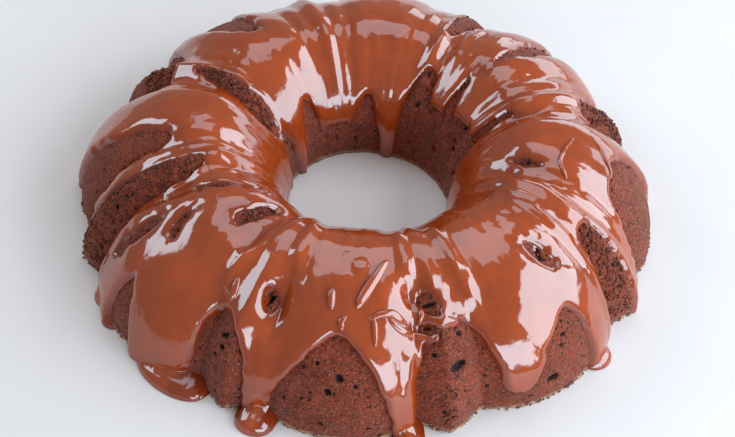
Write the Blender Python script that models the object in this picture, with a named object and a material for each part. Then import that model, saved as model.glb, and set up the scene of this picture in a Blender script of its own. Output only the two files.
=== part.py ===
"""A zucchini cake baked in a fluted tube pan, with chocolate glaze run down over its flutes.

The cake stands on z = 0 with its hole round the z axis. Lengths are in metres and angles in
degrees, counted from +X towards +Y. A place on the cake's wall is an angle and a way: way is
-1 at the foot of the hole, 0 on the crown and 1 at the outer foot.
"""

import math

import bmesh
import bpy
import numpy as np

# Driving dimensions of the cake
FOOT_RADIUS = 0.124  # crest of a lobe at the outer foot, so the cake is about 25 cm across
CROWN_RADIUS = 0.0704
HOLE_RADIUS = 0.0365
CAKE_HEIGHT = 0.0490
OUTER_BULGE = 1.15  # below 1 the outer wall is squarer, above 1 it leans more
HOLE_BULGE = 1.23

# The pan's flutes: broad lobes with a narrow ridge half-way between each two
LOBES = 8
LOBE_TURN = -46.8  # angle of one lobe's crest
LOBE_HALF_WIDTH = 16.0
LOBE_ROUNDNESS = 2.5
RIDGE_SHARE = 0.9  # height of a ridge against a lobe
RIDGE_SHARPNESS = 1.3
FLUTE_WAYS = (-1.0, -0.6, 0.0, 0.5, 1.0)
FLUTE_DEPTHS = (0.0, 0.0010, 0.0071, 0.0064, 0.0082)

# Two ridges stand off the even spacing. Each angle has the turn that brings it to its even place,
# which is 0 on the lobes beside them.
SKEWED_ANGLES = (-181.8, -161.5, -136.8, -91.8, -72.0, -46.8)
SKEWS = (0.0, 2.2, 0.0, 0.0, 2.7, 0.0)

# The glaze
GLAZE_THICKNESS = 0.0024
GLAZE_EDGE = 0.0040  # over this distance its rounded edge reaches the full thickness
GLAZE_HIDDEN = -0.0016  # where the cake is bare, the glaze's own surface lies this deep in it
DRIP_SWELL = 0.45  # glaze gathers at the foot and is thicker there by this share
GAP = 0.0004  # clear space between the cake and its glaze
SKIRT = 0.005  # how far the cutter reaches below the cake's foot

# On the crown the glaze fills the valleys by a share of their depth, most towards one angle
FILLED_TOWARDS = -80.0
FILL_LEAST, FILL_MOST = 0.30, 0.80

# Mesh steps
CAKE_ROUND, CAKE_WALL = 96, 16
GLAZE_ROUND, GLAZE_WALL = 240, 48
BASE_STEPS = 3
GLAZE_KEPT = 0.20  # share of the glaze's triangles that stay
POOL_SEGMENTS, POOL_RINGS = 18, 8

# Linear colours and roughness
SPONGE_COLOUR, SPONGE_ROUGHNESS = (0.150, 0.056, 0.034), 0.9
GLAZE_COLOUR, GLAZE_ROUGHNESS = (0.235, 0.052, 0.020), 0.18

# Bare bays that rise from the outer foot between two drips:
# angle and half width at the foot, angle and half width at the top, rise along the wall, squareness
OUTER_BAYS = (
    (-174.5, 5.8, -173.6, 4.4, 0.067, 2.6),
    (-161.0, 5.8, -159.4, 4.6, 0.078, 2.6),
    (-139.6, 4.2, -140.9, 4.2, 0.030, 1.3),
    (-116.6, 6.3, -118.0, 6.3, 0.041, 2.1),
    (-94.4, 11.9, -93.9, 11.9, 0.0435, 1.65),
    (-68.1, 10.1, -70.5, 6.5, 0.0505, 3.0),
    (-52.4, 11.6, -44.4, 5.2, 0.0345, 2.0),
    (-27.4, 3.3, -25.8, 3.5, 0.052, 3.0),
    (-5.5, 10.3, -5.0, 10.3, 0.047, 3.0),
    (23.0, 7.5, 19.5, 7.5, 0.053, 2.5),
    (43.6, 2.8, 42.2, 2.8, 0.080, 2.5),
    (63.5, 3.2, 64.5, 3.2, 0.075, 3.0),
    (87.0, 9.5, 88.0, 9.5, 0.036, 2.0),
    (110.0, 5.0, 110.0, 5.0, 0.041, 2.0),
    (133.0, 6.2, 133.0, 6.2, 0.070, 2.5),
    (156.5, 13.5, 157.0, 13.5, 0.053, 2.5),
)

# Bare bays that rise from the foot of the hole, in the same order
HOLE_BAYS = (
    (153.0, 5.0, 155.0, 5.0, 0.027, 3.0),
    (129.0, 9.5, 131.5, 5.5, 0.033, 2.5),
    (115.5, 14.0, 115.5, 14.0, 0.0175, 4.0),
    (97.0, 13.5, 93.3, 6.5, 0.0305, 2.2),
    (64.5, 8.0, 62.8, 8.0, 0.046, 2.5),
    (52.0, 12.0, 52.0, 12.0, 0.032, 4.0),
    (44.0, 1.8, 44.0, 1.8, 0.051, 3.0),
    (33.0, 14.0, 30.0, 14.0, 0.034, 4.0),
    (17.0, 3.0, 18.0, 3.0, 0.055, 2.5),
    (12.0, 9.0, 12.0, 9.0, 0.015, 2.5),
    (-20.0, 6.0, -21.0, 5.0, 0.014, 2.3),
    (-47.0, 13.0, -45.0, 9.0, 0.027, 2.4),
    (-91.0, 11.0, -90.0, 8.5, 0.029, 2.3),
    (-133.0, 13.0, -135.0, 9.0, 0.026, 2.5),
    (-160.0, 7.0, -161.0, 6.0, 0.015, 2.4),
)

# Round ends of drips that reach down between two bays, as ovals of glaze laid over them:
# angle, way, half length, half width, turn of the length from straight down the wall
DRIP_ENDS = (
    (-57.5, 0.770, 0.0075, 0.0073, 0.0),
    (115.0, -0.70, 0.0060, 0.0062, 0.0),
)

# Bare spots inside the glaze, in the same order
BARE_SPOTS = (
    (157.6, -0.26, 0.0270, 0.0034, 2.0),
    (-128.3, -0.10, 0.0100, 0.0033, 10.0),
    (-148.4, 0.51, 0.0145, 0.0026, 15.0),
    (-110.9, 0.357, 0.0054, 0.0030, -15.0),
    (-41.6, 0.295, 0.0068, 0.0028, -21.0),
)

# Pools that the drips end in, flat underneath: angle, distance from the axis, half length round the foot,
# half width, height
POOLS = (
    (-126.0, 0.1225, 0.0170, 0.0080, 0.0046),
    (-107.4, 0.1235, 0.0080, 0.0072, 0.0044),
    (-79.6, 0.1235, 0.0062, 0.0060, 0.0038),
    (-38.0, 0.1220, 0.0072, 0.0065, 0.0040),
    (-149.5, 0.1200, 0.0062, 0.0050, 0.0036),
    (-143.8, 0.1225, 0.0050, 0.0048, 0.0036),
    (11.0, 0.1215, 0.0090, 0.0060, 0.0040),
    (73.5, 0.1225, 0.0075, 0.0072, 0.0042),
    (100.5, 0.1230, 0.0070, 0.0070, 0.0042),
    (121.0, 0.1220, 0.0085, 0.0070, 0.0042),
)


def wrapped(angle):
    """The same angle between -180 and 180."""
    return (angle + 180.0) % 360.0 - 180.0


def smooth_step(value, low, high):
    """0 below low, 1 above high and an S curve between."""
    share = np.clip((value - low) / (high - low), 0, 1)
    return share * share * (3 - 2 * share)


def skewed(even_angle):
    """The true angle of an evenly spaced one."""
    even_places = np.add(SKEWED_ANGLES, SKEWS)
    return even_angle - np.interp(even_angle, even_places, SKEWS, period=360.0)


def flute(angle):
    """How far the wall stands out: 1 on a lobe's crest, 0 at the bottom of a valley."""
    pitch = 360.0 / LOBES
    even_angle = angle + np.interp(angle, SKEWED_ANGLES, SKEWS, period=360.0)
    off_lobe = np.abs((even_angle - LOBE_TURN + pitch / 2) % pitch - pitch / 2)
    lobe = 1 - (off_lobe / LOBE_HALF_WIDTH) ** LOBE_ROUNDNESS
    ridge_half_width = pitch / 2 - LOBE_HALF_WIDTH
    off_ridge = (pitch / 2 - off_lobe) / ridge_half_width
    ridge = RIDGE_SHARE * (1 - off_ridge**RIDGE_SHARPNESS)
    return np.maximum(np.maximum(lobe, ridge), 0)


def outline(way):
    """Radius and height of the cake's outline through a crest."""
    turn = np.abs(way) * math.pi / 2
    outer = CROWN_RADIUS + (FOOT_RADIUS - CROWN_RADIUS) * np.sin(turn) ** OUTER_BULGE
    inner = CROWN_RADIUS - (CROWN_RADIUS - HOLE_RADIUS) * np.sin(turn) ** HOLE_BULGE
    return np.where(way > 0, outer, inner), CAKE_HEIGHT * np.cos(turn)


def outline_normal(way):
    """The outline's normal, away from the cake."""
    step = 1e-4
    radius_after, height_after = outline(np.minimum(way + step, 1.0))
    radius_before, height_before = outline(np.maximum(way - step, -1.0))
    along_radius, along_height = radius_after - radius_before, height_after - height_before
    length = np.hypot(along_radius, along_height)
    return -along_height / length, along_radius / length


def wall(angle, way, lift):
    """Points on the cake's wall, moved out from it by lift."""
    radius, height = outline(way)
    out_radius, out_height = outline_normal(way)
    depth = np.interp(way, FLUTE_WAYS, FLUTE_DEPTHS)
    move = lift - depth * (1 - flute(angle))
    radius = radius + out_radius * move
    height = np.maximum(height + out_height * move, 0)
    turn = np.radians(angle)
    return np.stack([radius * np.cos(turn), radius * np.sin(turn), height], axis=-1)


def along_wall(way):
    """Distance along the outline from the crown, negative on the hole's side."""
    ways = np.linspace(-1, 1, 401)
    radius, height = outline(ways)
    length = np.append(0, np.cumsum(np.hypot(np.diff(radius), np.diff(height))))
    return np.interp(way, ways, length - length[len(ways) // 2])


def beyond_oval(across, along, half_width, half_length, squareness=2.0):
    """Distance outside a superellipse, negative inside: its level over the level's slope."""
    across, along = np.abs(across) + 1e-6, np.abs(along) + 1e-6
    powers = (across / half_width) ** squareness + (along / half_length) ** squareness
    level = powers ** (1 / squareness)
    steep_across = across ** (squareness - 1) / half_width**squareness
    steep_along = along ** (squareness - 1) / half_length**squareness
    slope = level ** (1 - squareness) * np.hypot(steep_across, steep_along)
    return (level - 1) / slope


def beyond_bay(angle, radius, rise, bay):
    """Distance outside a bare bay that rises from the foot, leaning from one angle to another."""
    foot_angle, foot_half_width, top_angle, top_half_width, top_rise, squareness = bay
    share = np.clip(rise / top_rise, 0, 1)
    middle = foot_angle + (top_angle - foot_angle) * share
    half_width = np.radians(foot_half_width + (top_half_width - foot_half_width) * share) * radius
    across = np.radians(wrapped(angle - middle)) * radius
    return beyond_oval(across, rise, half_width, top_rise, squareness)


def beyond_spot(angle, radius, along, spot):
    """Distance outside a bare spot within the glaze."""
    spot_angle, spot_way, half_length, half_width, tilt = spot
    across = np.radians(wrapped(angle - spot_angle)) * radius
    down = along - along_wall(spot_way)
    cosine, sine = math.cos(math.radians(tilt)), math.sin(math.radians(tilt))
    turned_across, turned_down = across * cosine + down * sine, down * cosine - across * sine
    return beyond_oval(turned_across, turned_down, half_width, half_length)


def inside_glaze(angle, way):
    """Distance in from the glaze's edge, along the wall, negative where the cake is bare."""
    radius, along = outline(way)[0], along_wall(way)
    outer_rise, hole_rise = along_wall(1) - along, along - along_wall(-1)
    bays = [beyond_bay(angle, radius, outer_rise, bay) for bay in OUTER_BAYS]
    bays += [beyond_bay(angle, radius, hole_rise, bay) for bay in HOLE_BAYS]
    ends = [-beyond_spot(angle, radius, along, end) for end in DRIP_ENDS]
    spots = [beyond_spot(angle, radius, along, spot) for spot in BARE_SPOTS]
    run = np.maximum(np.min(bays, axis=0), np.max(ends, axis=0))
    return np.minimum(run, np.min(spots, axis=0))


def valley_fill(angle, way):
    """How much deeper the glaze lies in a valley of the crown."""
    towards = smooth_step(np.cos(np.radians(angle - FILLED_TOWARDS)), 0.2, 0.9)
    share = FILL_LEAST + (FILL_MOST - FILL_LEAST) * towards
    on_crown = 1 - smooth_step(np.abs(way - 0.03), 0.18, 0.42)
    return share * on_crown * np.interp(way, FLUTE_WAYS, FLUTE_DEPTHS) * (1 - flute(angle))


def glaze_lift(angle, way):
    """Height of the glaze's surface over the cake, with a rounded edge and thicker at the foot."""
    inside = inside_glaze(angle, way)
    share = np.clip(inside / GLAZE_EDGE, 0, 1)
    rounded = np.sqrt(1 - (1 - share) ** 2)
    swell = 1 + DRIP_SWELL * np.clip(way, 0, 1) ** 3
    filled = valley_fill(angle, way) * smooth_step(inside, 0, 0.008)
    return np.where(inside > 0, GLAZE_THICKNESS * rounded * swell + filled, np.maximum(inside, GLAZE_HIDDEN))


def ring_object(name, round_steps, wall_steps, lift, base_depth=0.0):
    """A torus primitive whose rings become the wall and a flat base, or a base sunk by a depth."""
    around = wall_steps + BASE_STEPS
    bpy.ops.mesh.primitive_torus_add(
        major_segments=round_steps, minor_segments=around, major_radius=1.0, minor_radius=0.25
    )
    ring = bpy.context.object
    ring.name = ring.data.name = name
    points = np.empty((len(ring.data.vertices), 3), dtype=np.float32)
    ring.data.vertices.foreach_get("co", points.ravel())
    turn = np.arctan2(points[:, 1], points[:, 0])
    from_outside = np.arctan2(points[:, 2], np.hypot(points[:, 0], points[:, 1]) - 1.0)
    step = np.rint(from_outside / (2 * math.pi) * around) % around
    angle = skewed(np.degrees(turn) + LOBE_TURN)
    way = np.clip(1 - 2 * step / wall_steps, -1, 1)
    placed = wall(angle, way, lift(angle, way))
    base_share = np.clip((step - wall_steps) / BASE_STEPS, 0, 1)[:, None]
    if base_depth:
        base_share = np.rint(base_share)
    outer_foot = wall(angle, np.ones_like(way), lift(angle, np.ones_like(way)))
    base = placed * (1 - base_share) + outer_foot * base_share
    base[:, 2] = -base_depth
    placed = np.where((step > wall_steps)[:, None], base, placed)
    ring.data.vertices.foreach_set("co", placed.astype(np.float32).ravel())
    ring.data.update()
    return ring


def dome(pool):
    """A low round pool of glaze at the foot: the upper half of a ball, flattened."""
    angle, distance, half_length, half_width, height = pool
    bpy.ops.mesh.primitive_uv_sphere_add(segments=POOL_SEGMENTS, ring_count=POOL_RINGS, radius=1.0)
    drop = bpy.context.object
    turn = math.radians(angle)
    bowl = bmesh.new()
    bowl.from_mesh(drop.data)
    everything = bowl.verts[:] + bowl.edges[:] + bowl.faces[:]
    bmesh.ops.bisect_plane(bowl, geom=everything, plane_co=(0, 0, 0), plane_no=(0, 0, -1), clear_outer=True)
    bmesh.ops.holes_fill(bowl, edges=[edge for edge in bowl.edges if edge.is_boundary])
    bowl.to_mesh(drop.data)
    bowl.free()
    drop.scale = (half_width, half_length, height)
    drop.rotation_euler.z = turn
    drop.location = (distance * math.cos(turn), distance * math.sin(turn), 0)
    return drop


def apply_modifiers(thing):
    """Keep the shape that the modifiers give and take them off."""
    shaped = bpy.data.meshes.new_from_object(thing.evaluated_get(bpy.context.evaluated_depsgraph_get()))
    thing.modifiers.clear()
    thing.data = shaped
    shaped.name = thing.name


def keep_largest_body(thing):
    """Drop the loose scraps that a cut leaves."""
    body = bmesh.new()
    body.from_mesh(thing.data)
    unseen, largest = set(body.verts), set()
    while unseen:
        island, to_visit = set(), [next(iter(unseen))]
        while to_visit:
            vertex = to_visit.pop()
            if vertex not in island:
                island.add(vertex)
                to_visit += [edge.other_vert(vertex) for edge in vertex.link_edges]
        unseen -= island
        largest = max(largest, island, key=len)
    bmesh.ops.delete(body, geom=[vertex for vertex in body.verts if vertex not in largest])
    body.to_mesh(thing.data)
    body.free()


def into_collection(thing, collection):
    """Move an object into one collection only."""
    for old in list(thing.users_collection):
        old.objects.unlink(thing)
    collection.objects.link(thing)


def paint(thing, name, colour, roughness):
    """Give an object its own plain material, and shade it smooth."""
    material = bpy.data.materials.new(name)
    material.use_nodes = True
    surface = material.node_tree.nodes["Principled BSDF"]
    surface.inputs["Base Color"].default_value = (*colour, 1)
    surface.inputs["Roughness"].default_value = roughness
    thing.data.materials.clear()
    thing.data.materials.append(material)
    thing.data.shade_smooth()


def make_cake(collection):
    """The sponge: one solid ring with its pan's flutes and a flat base."""
    cake = ring_object("cake", CAKE_ROUND, CAKE_WALL, lambda angle, way: 0 * way)
    into_collection(cake, collection)
    paint(cake, "sponge", SPONGE_COLOUR, SPONGE_ROUGHNESS)


def make_glaze(collection, cutters):
    """The glaze: a skin over the cake joined with its pools, then cut clear of the cake."""
    glaze = ring_object("glaze", GLAZE_ROUND, GLAZE_WALL, glaze_lift)
    fewer = glaze.modifiers.new("fewer faces", "DECIMATE")
    fewer.ratio = GLAZE_KEPT
    apply_modifiers(glaze)

    pools = bpy.data.collections.new("pools")
    bpy.context.scene.collection.children.link(pools)
    for pool in POOLS:
        into_collection(dome(pool), pools)
    joined = glaze.modifiers.new("pools", "BOOLEAN")
    joined.operation = "UNION"
    joined.operand_type = "COLLECTION"
    joined.collection = pools
    apply_modifiers(glaze)
    for drop in list(pools.objects):
        bpy.data.objects.remove(drop)
    bpy.data.collections.remove(pools)

    cutter = ring_object("cake outline", CAKE_ROUND, CAKE_WALL, lambda angle, way: GAP + 0 * way, SKIRT)
    cutter.hide_render = True
    cutter.display_type = "WIRE"
    into_collection(cutter, cutters)
    hollow = glaze.modifiers.new("cake outline", "BOOLEAN")
    hollow.operation = "DIFFERENCE"
    hollow.object = cutter
    apply_modifiers(glaze)
    keep_largest_body(glaze)
    into_collection(glaze, collection)
    paint(glaze, "glaze", GLAZE_COLOUR, GLAZE_ROUGHNESS)


def main():
    for thing in list(bpy.data.objects):
        bpy.data.objects.remove(thing)
    collection = bpy.data.collections.new("zucchini_cake")
    cutters = bpy.data.collections.new("cutters")
    bpy.context.scene.collection.children.link(collection)
    bpy.context.scene.collection.children.link(cutters)
    make_cake(collection)
    make_glaze(collection, cutters)


main()
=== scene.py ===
# %% [markdown]
# A glazed zucchini ring cake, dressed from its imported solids.
#
# The cake was baked in a fluted tube pan and turned out upside down, so the pan's flutes stand
# up as broad lobes with a narrow ridge between each two. Warm chocolate glaze was poured round
# the crown. It ran down the outside and into the hole, kept to the valleys, left bare bays over
# the crests and gathered in small pools at the foot.
#
# Both solids of the frame are coarse. This file replaces them with fine meshes of the same form:
# every surface is a function of two numbers, an angle round the hole and a way over the wall, so
# the same few formulas give the sponge, its pores, the glaze and its drips.

# %% Load the frame
import math

import bpy
import numpy as np
from mathutils import Matrix, Vector


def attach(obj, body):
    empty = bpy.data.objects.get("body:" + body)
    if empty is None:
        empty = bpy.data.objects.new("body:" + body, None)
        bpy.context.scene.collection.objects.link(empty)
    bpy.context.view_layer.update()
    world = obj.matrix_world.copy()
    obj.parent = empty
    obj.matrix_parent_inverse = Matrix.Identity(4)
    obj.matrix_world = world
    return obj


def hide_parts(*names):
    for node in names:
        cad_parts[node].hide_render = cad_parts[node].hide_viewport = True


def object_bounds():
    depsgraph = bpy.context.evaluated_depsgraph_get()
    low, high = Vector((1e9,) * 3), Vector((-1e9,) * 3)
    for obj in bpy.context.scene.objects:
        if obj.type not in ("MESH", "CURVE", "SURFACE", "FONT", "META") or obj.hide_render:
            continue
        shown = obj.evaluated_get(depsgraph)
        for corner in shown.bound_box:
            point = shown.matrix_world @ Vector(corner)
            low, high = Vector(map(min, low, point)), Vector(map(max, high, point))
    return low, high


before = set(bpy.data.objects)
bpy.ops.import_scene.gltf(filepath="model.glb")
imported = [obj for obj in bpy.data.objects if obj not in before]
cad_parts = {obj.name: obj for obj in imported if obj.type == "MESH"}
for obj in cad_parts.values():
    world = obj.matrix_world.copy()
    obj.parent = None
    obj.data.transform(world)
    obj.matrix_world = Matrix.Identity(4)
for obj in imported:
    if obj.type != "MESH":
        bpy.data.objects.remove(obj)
cad_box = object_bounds()
print("frame:", sorted(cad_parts), "box", cad_box)

# %% [markdown]
# The camera looks down on the cake at about 45 degrees with a short telephoto lens, and leans a
# little, so the cake fills the picture from edge to edge. A lens, a point looked at, a distance
# and a roll say all of that.

# %% Camera
LENS_MM = 71.4
CAMERA_ELEVATION = 45.633
CAMERA_ROLL = 3.742
CAMERA_DISTANCE = 0.606
LOOKED_AT = (0.00103, -0.02642, 0.02137)


def look_down(elevation, roll, distance, target):
    """Camera matrix: back along the view by the distance, turned by the roll about it."""
    high, lean = math.radians(elevation), math.radians(roll)
    back = Vector((0, -math.cos(high), math.sin(high)))
    level, upright = Vector((1, 0, 0)), Vector((0, math.sin(high), math.cos(high)))
    right = level * math.cos(lean) + upright * math.sin(lean)
    up = upright * math.cos(lean) - level * math.sin(lean)
    turned = Matrix((right, up, back)).transposed().to_4x4()
    return Matrix.Translation(Vector(target) + back * distance) @ turned


camera = bpy.data.objects.new("camera", bpy.data.cameras.new("camera"))
camera.data.lens = LENS_MM
camera.data.sensor_width = 36.0
camera.data.clip_start = 0.01
camera.matrix_world = look_down(CAMERA_ELEVATION, CAMERA_ROLL, CAMERA_DISTANCE, LOOKED_AT)
bpy.context.scene.collection.objects.link(camera)
bpy.context.scene.camera = camera
print("camera at", tuple(round(value, 3) for value in camera.location))

# %% [markdown]
# The pan's shape. Through a crest the cake's outline is a quarter of a superellipse on each side
# of the crown: steep at both feet and flat on top. The flutes press this outline inwards along
# its normal, by nothing on a crest and by the full depth in a valley. These are the sizes that
# the cake's solid was built from, in metres.

# %% Pan shape
FOOT_RADIUS = 0.124
CROWN_RADIUS = 0.0704
HOLE_RADIUS = 0.0365
CAKE_HEIGHT = 0.0490
OUTER_BULGE, HOLE_BULGE = 1.15, 1.23

LOBES = 8
LOBE_TURN = -46.8
LOBE_HALF_WIDTH, LOBE_ROUNDNESS = 16.0, 2.5
RIDGE_SHARE, RIDGE_SHARPNESS = 0.9, 1.18
FLUTE_WAYS = (-1.0, -0.6, 0.0, 0.5, 1.0)
FLUTE_DEPTHS = (0.0, 0.0010, 0.0071, 0.0064, 0.0082)
# two ridges stand off the even spacing: an angle, and the turn that brings it to its even place
SKEWED_ANGLES = (-181.8, -161.5, -136.8, -91.8, -72.0, -46.8)
SKEWS = (0.0, 2.2, 0.0, 0.0, 2.7, 0.0)
# the grids have their narrowest columns at this angle, narrower than the mean by this share
FINEST_ANGLE, COLUMN_CROWDING = -75.0, 0.36


def wrapped(angle):
    """The same angle between -180 and 180."""
    return (angle + 180.0) % 360.0 - 180.0


def flute(angle):
    """How far the wall stands out: 1 on a lobe's crest, falling by a power to 0 in the valley,
    with a sharper and lower ridge half-way to the next lobe."""
    pitch = 360.0 / LOBES
    even_angle = angle + np.interp(angle, SKEWED_ANGLES, SKEWS, period=360.0)
    off_lobe = np.abs((even_angle - LOBE_TURN + pitch / 2) % pitch - pitch / 2)
    lobe = 1 - (off_lobe / LOBE_HALF_WIDTH) ** LOBE_ROUNDNESS
    off_ridge = (pitch / 2 - off_lobe) / (pitch / 2 - LOBE_HALF_WIDTH)
    ridge = RIDGE_SHARE * (1 - off_ridge**RIDGE_SHARPNESS)
    return np.maximum(np.maximum(lobe, ridge), 0)


def outline(way):
    """Radius and height of the cake's outline: the way is a share of a quarter turn, the height
    its cosine and the radius a power of its sine."""
    turn = np.abs(way) * math.pi / 2
    outer = CROWN_RADIUS + (FOOT_RADIUS - CROWN_RADIUS) * np.sin(turn) ** OUTER_BULGE
    inner = CROWN_RADIUS - (CROWN_RADIUS - HOLE_RADIUS) * np.sin(turn) ** HOLE_BULGE
    return np.where(way > 0, outer, inner), CAKE_HEIGHT * np.cos(turn)


def outline_normal(way):
    """The outline's normal: the step between two near points, turned by a right angle."""
    radius_after, height_after = outline(np.minimum(way + 1e-4, 1.0))
    radius_before, height_before = outline(np.maximum(way - 1e-4, -1.0))
    along_radius, along_height = radius_after - radius_before, height_after - height_before
    length = np.hypot(along_radius, along_height)
    return -along_height / length, along_radius / length


def wall(angle, way, lift):
    """A point of the wall: the outline moved along its normal by the lift less the flute's depth,
    then turned to its angle. Nothing goes below the plane that the cake stands on."""
    radius, height = outline(way)
    out_radius, out_height = outline_normal(way)
    move = lift - np.interp(way, FLUTE_WAYS, FLUTE_DEPTHS) * (1 - flute(angle))
    radius = radius + out_radius * move
    height = np.maximum(height + out_height * move, 0)
    turn = np.radians(angle)
    return np.stack([radius * np.cos(turn), radius * np.sin(turn), height], axis=-1)


def along_wall(way):
    """Distance along the outline from the crown, negative on the hole's side: summed short steps."""
    ways = np.linspace(-1, 1, 801)
    radius, height = outline(ways)
    length = np.append(0, np.cumsum(np.hypot(np.diff(radius), np.diff(height))))
    return np.interp(way, ways, length - length[len(ways) // 2])


def columns(count):
    """Angles of a grid's columns: even steps less a sine of the step, so they crowd at the front."""
    step = np.arange(count) * 2 * math.pi / count
    return wrapped(np.degrees(step - COLUMN_CROWDING * np.sin(step)) + FINEST_ANGLE)


print("wall from crown to outer foot", round(float(along_wall(1.0)) * 1000), "mm")

# %% [markdown]
# Nothing baked or poured is even. One helper makes all the unevenness: a sum of a few dozen
# waves in fixed random directions through space, which is smooth, never repeats over the cake
# and is the same on every run because its seed is given.

# %% Smooth unevenness
def uneven(points, size, seed, waves=28):
    """Values of about -1 to 1: the mean of sines of the point along random directions, with
    wavelengths near the given size."""
    random = np.random.default_rng(seed)
    directions = random.normal(size=(waves, 3))
    directions /= np.linalg.norm(directions, axis=1)[:, None]
    rates = 2 * math.pi / (size * random.uniform(0.7, 1.6, waves))
    phases = random.uniform(0, 2 * math.pi, waves)
    total = np.zeros(points.shape[:-1])
    for direction, rate, phase in zip(directions, rates, phases):
        total += np.sin(points @ direction * rate + phase)
    return total / math.sqrt(waves)


def smooth_step(value, low, high):
    """0 below low, 1 above high and an S curve between."""
    share = np.clip((value - low) / (high - low), 0, 1)
    return share * share * (3 - 2 * share)


# %% [markdown]
# The glaze is described by where it isn't. Between two drips lies a bare bay that rises from the
# foot like an arch, and a few bare spots lie within the glaze: torn slits, a burst bubble, a
# ridge that stood clear. Each is a superellipse on the wall, so one formula gives the distance
# to its edge, and the nearest edge tells how far inside the glaze a point is. The round ends of
# drips, and two fingers of glaze across a bare ridge, are ovals laid on in the same way.

# %% Where the glaze ran
# angle and half width at the foot, angle and half width at the top, rise along the wall, squareness
OUTER_BAYS = (
    (-174.5, 5.8, -173.6, 4.4, 0.067, 2.6),
    (-161.0, 5.8, -159.4, 4.6, 0.078, 2.6),
    (-139.6, 4.2, -140.9, 4.2, 0.030, 1.3),
    (-116.6, 6.3, -118.0, 6.3, 0.041, 2.1),
    (-94.4, 11.9, -93.9, 11.9, 0.0435, 1.65),
    (-68.1, 10.1, -70.5, 6.5, 0.0505, 3.0),
    (-52.4, 11.6, -44.4, 5.2, 0.0345, 2.0),
    (-27.4, 3.3, -25.8, 3.5, 0.052, 3.0),
    (-5.5, 10.3, -5.0, 10.3, 0.047, 3.0),
    (23.0, 7.5, 19.5, 7.5, 0.053, 2.5),
    (43.6, 2.8, 42.2, 2.8, 0.080, 2.5),
    (63.5, 3.2, 64.5, 3.2, 0.075, 3.0),
    (87.0, 9.5, 88.0, 9.5, 0.036, 2.0),
    (110.0, 5.0, 110.0, 5.0, 0.041, 2.0),
    (133.0, 6.2, 133.0, 6.2, 0.070, 2.5),
    (156.5, 13.5, 157.0, 13.5, 0.053, 2.5),
)
# the last five, on the hidden front of the hole's wall, are a guess
HOLE_BAYS = (
    (153.0, 5.0, 155.0, 5.0, 0.027, 3.0),
    (129.0, 9.5, 131.5, 5.5, 0.033, 2.5),
    (115.5, 14.0, 115.5, 14.0, 0.0175, 4.0),
    (97.0, 13.5, 93.3, 6.5, 0.0305, 2.2),
    (64.5, 8.0, 62.8, 8.0, 0.046, 2.5),
    (52.0, 12.0, 52.0, 12.0, 0.032, 4.0),
    (44.0, 1.8, 44.0, 1.8, 0.051, 3.0),
    (33.0, 14.0, 30.0, 14.0, 0.034, 4.0),
    (17.0, 3.0, 18.0, 3.0, 0.055, 2.5),
    (12.0, 9.0, 12.0, 9.0, 0.015, 2.5),
    (-20.0, 6.0, -21.0, 5.0, 0.014, 2.3),
    (-47.0, 13.0, -45.0, 9.0, 0.027, 2.4),
    (-91.0, 11.0, -90.0, 8.5, 0.029, 2.3),
    (-133.0, 13.0, -135.0, 9.0, 0.026, 2.5),
    (-160.0, 7.0, -161.0, 6.0, 0.015, 2.4),
)
# angle, way, half length, half width, turn of the length from straight down the wall
DRIP_ENDS = (
    (-57.5, 0.770, 0.0075, 0.0073, 0.0),
    (-56.6, 0.700, 0.0100, 0.0098, 0.0),
    (115.0, -0.70, 0.0060, 0.0062, 0.0),
)
BARE_SPOTS = (
    (157.6, -0.26, 0.0270, 0.0034, 2.0),
    (-128.3, -0.10, 0.0102, 0.0031, 10.0),
    (-148.4, 0.51, 0.0150, 0.0024, 15.0),
    (-141.4, 0.31, 0.0046, 0.0014, -21.0),
    (-146.3, 0.00, 0.0130, 0.0012, 27.0),
    (-110.7, 0.357, 0.0056, 0.0030, -15.0),
    (-11.3, -0.13, 0.0070, 0.0019, 8.0),
    (-41.6, 0.295, 0.0070, 0.0024, -21.0),
    (-73.4, 0.324, 0.0058, 0.0032, -30.0),
    (-74.6, 0.430, 0.0042, 0.0030, -80.0),
)
# the glaze thins out gently towards a spot: its distance counts by this share
SPOT_SLOPE = 0.5
# fingers of glaze that cross a bare bay, in the same order
FINGERS = (
    (-76.3, 0.457, 0.0066, 0.0025, -66.0),
    (-72.3, 0.395, 0.0085, 0.0024, -70.0),
)
# angle, distance from the axis, half length round the foot, half width, height
POOLS = (
    (-126.0, 0.1225, 0.0170, 0.0080, 0.0046),
    (-107.4, 0.1235, 0.0080, 0.0072, 0.0044),
    (-79.6, 0.1235, 0.0062, 0.0060, 0.0038),
    (-38.0, 0.1220, 0.0072, 0.0065, 0.0040),
    (-149.5, 0.1200, 0.0062, 0.0050, 0.0036),
    (-143.8, 0.1225, 0.0050, 0.0048, 0.0036),
    (11.0, 0.1215, 0.0090, 0.0060, 0.0040),
    (73.5, 0.1225, 0.0075, 0.0072, 0.0042),
    (100.5, 0.1230, 0.0070, 0.0070, 0.0042),
    (121.0, 0.1220, 0.0085, 0.0070, 0.0042),
)


def beyond_oval(across, along, half_width, half_length, squareness=2.0):
    """Distance outside a superellipse, negative inside: its level over the level's slope."""
    across, along = np.abs(across) + 1e-6, np.abs(along) + 1e-6
    powers = (across / half_width) ** squareness + (along / half_length) ** squareness
    level = powers ** (1 / squareness)
    steep_across = across ** (squareness - 1) / half_width**squareness
    steep_along = along ** (squareness - 1) / half_length**squareness
    return (level - 1) / (level ** (1 - squareness) * np.hypot(steep_across, steep_along))


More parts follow.
